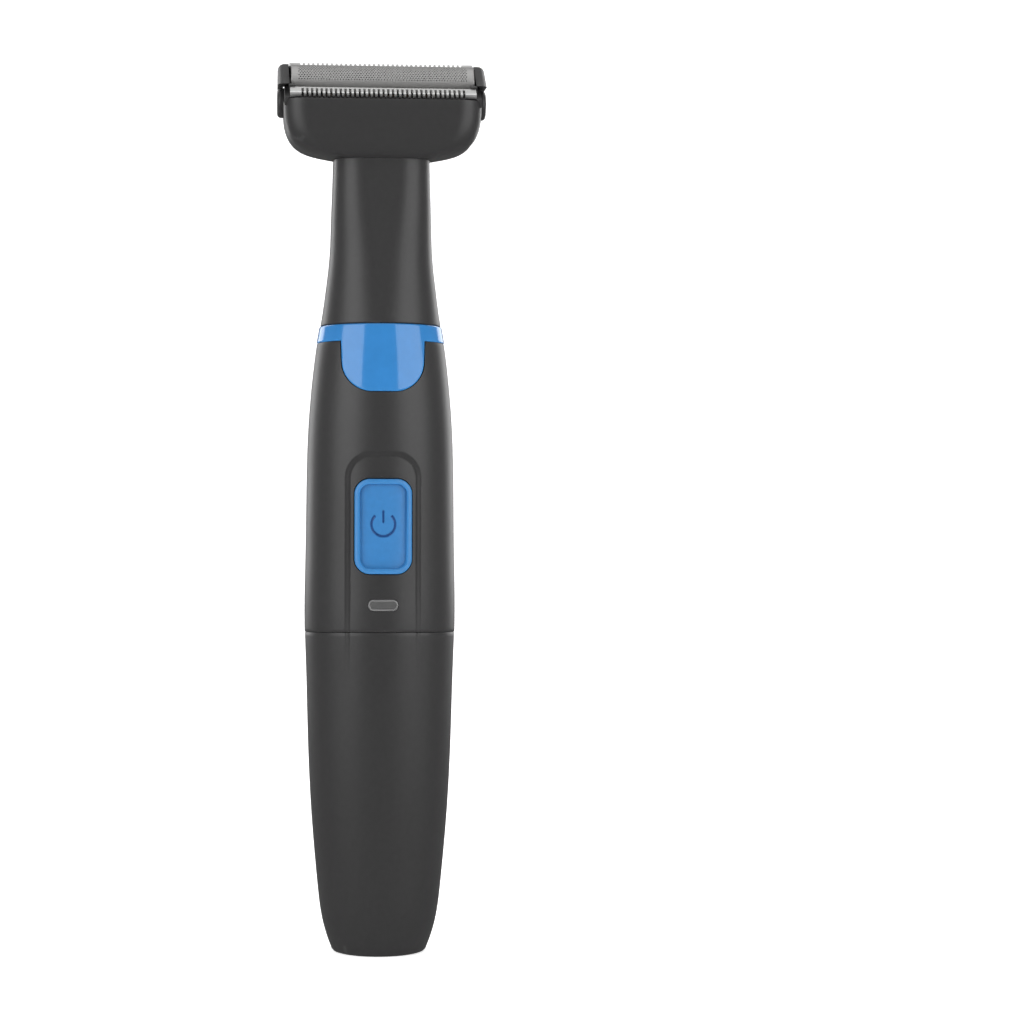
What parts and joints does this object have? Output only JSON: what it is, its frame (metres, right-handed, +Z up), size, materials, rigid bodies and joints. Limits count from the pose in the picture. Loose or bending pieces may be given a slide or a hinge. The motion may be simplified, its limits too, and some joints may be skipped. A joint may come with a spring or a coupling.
{
  "type": "body groomer",
  "caption": "Slim upright battery body groomer: a tapering round handle with thumb button and accent ring, and a wide tilted head with a foil between two combs.",
  "frame": {"origin": "centre of the flat base that the handle stands on, on the handle's axis", "axes": "+Z up along the handle towards the head, -Y the front with the thumb button, +X across the head"},
  "size_m": [0.0414, 0.03, 0.177],
  "materials": {
    "soft_touch_black": "fine matt moulded texture, near black",
    "head_black": "satin moulded plastic, near black",
    "gloss_blue": "glossy moulded blue",
    "button_blue": "satin-gloss moulded blue",
    "blade_steel": "ground and polished blade steel",
    "foil_steel": "fine matt etched foil",
    "clear_lens": "clear moulded light pipe",
    "frame_plastic": "natural grey engineering plastic",
    "seal_rubber": "silicone rubber",
    "contact_metal": "plated spring brass",
    "cell_wrap": "plain printed steel can",
    "board_green": "solder resist on fibreglass",
    "component_black": "moulded component bodies",
    "motor_steel": "plated drawn steel",
    "motor_nylon": "natural nylon",
    "copper_core": "laminated core with enamelled winding",
    "magnet_grey": "sintered ferrite",
    "screw_steel": "zinc plated",
    "bearing_bronze": "sintered bronze",
    "drive_acetal": "white acetal"
  },
  "bodies": {
    "handle": {"upper_shell": "soft_touch_black", "accent_ring": "gloss_blue", "neck_shell": "soft_touch_black", "inner_frame": "frame_plastic", "battery_cell": "cell_wrap", "negative_strip": "contact_metal", "top_contact": "contact_metal", "body_seal": "seal_rubber", "circuit_board": "board_green", "board_components": "component_black", "board_screws": "screw_steel", "tact_switch": "component_black", "button_seal": "seal_rubber", "indicator_lens": "clear_lens", "indicator_led": "clear_lens", "motor_can": "motor_steel", "motor_end_bell": "motor_nylon", "motor_bushing": "bearing_bronze", "motor_magnets": "magnet_grey", "motor_holder": "frame_plastic", "motor_screws": "screw_steel", "head_base": "head_black", "neck_seal": "seal_rubber"},
    "rotor": {"motor_shaft": "motor_steel", "motor_armature": "copper_core", "eccentric_cam": "drive_acetal"},
    "drive_slider": {"drive_yoke": "drive_acetal"},
    "cassette": {"foil_frame": "head_black", "front_comb": "blade_steel", "rear_comb": "blade_steel", "foil": "foil_steel"},
    "cutter": {"cutter_carrier": "drive_acetal", "foil_cutter": "blade_steel", "front_trimmer_blade": "blade_steel", "rear_trimmer_blade": "blade_steel"},
    "cap": {"battery_cap": "soft_touch_black", "cap_contact": "contact_metal", "battery_spring": "screw_steel"},
    "power_key": {"power_button": "button_blue"},
    "release_left": {"release_button_left": "head_black"},
    "release_right": {"release_button_right": "head_black"}
  },
  "joints": [
    {"name": "rotor_spin", "type": "hinge", "parent": "handle", "child": "rotor", "pos_m": [0, 0, 0.14], "axis": [0, 0, 1], "continuous": true},
    {"name": "drive_slide", "type": "slide", "parent": "handle", "child": "drive_slider", "axis": [1, 0, 0], "range_m": [-0.0008, 0.0008]},
    {"name": "cassette_lift", "type": "slide", "parent": "handle", "child": "cassette", "axis": [0, -0.5299, 0.848], "range_m": [0, 0.014]},
    {"name": "cutter_slide", "type": "slide", "parent": "cassette", "child": "cutter", "axis": [1, 0, 0], "range_m": [-0.0008, 0.0008]},
    {"name": "cap_slide", "type": "slide", "parent": "handle", "child": "cap", "axis": [0, 0, -1], "range_m": [0, 0.06]},
    {"name": "power_press", "type": "slide", "parent": "handle", "child": "power_key", "axis": [0, 1, 0], "range_m": [0, 0.0005], "stiffness_N_per_m": 400},
    {"name": "release_left_press", "type": "slide", "parent": "handle", "child": "release_left", "axis": [1, 0, 0], "range_m": [0, 0.0008], "stiffness_N_per_m": 300},
    {"name": "release_right_press", "type": "slide", "parent": "handle", "child": "release_right", "axis": [-1, 0, 0], "range_m": [0, 0.0008], "stiffness_N_per_m": 300}
  ],
  "couplings": [
    {"joint": "cutter_slide", "follows": "drive_slide", "ratio": 1}
  ]
}
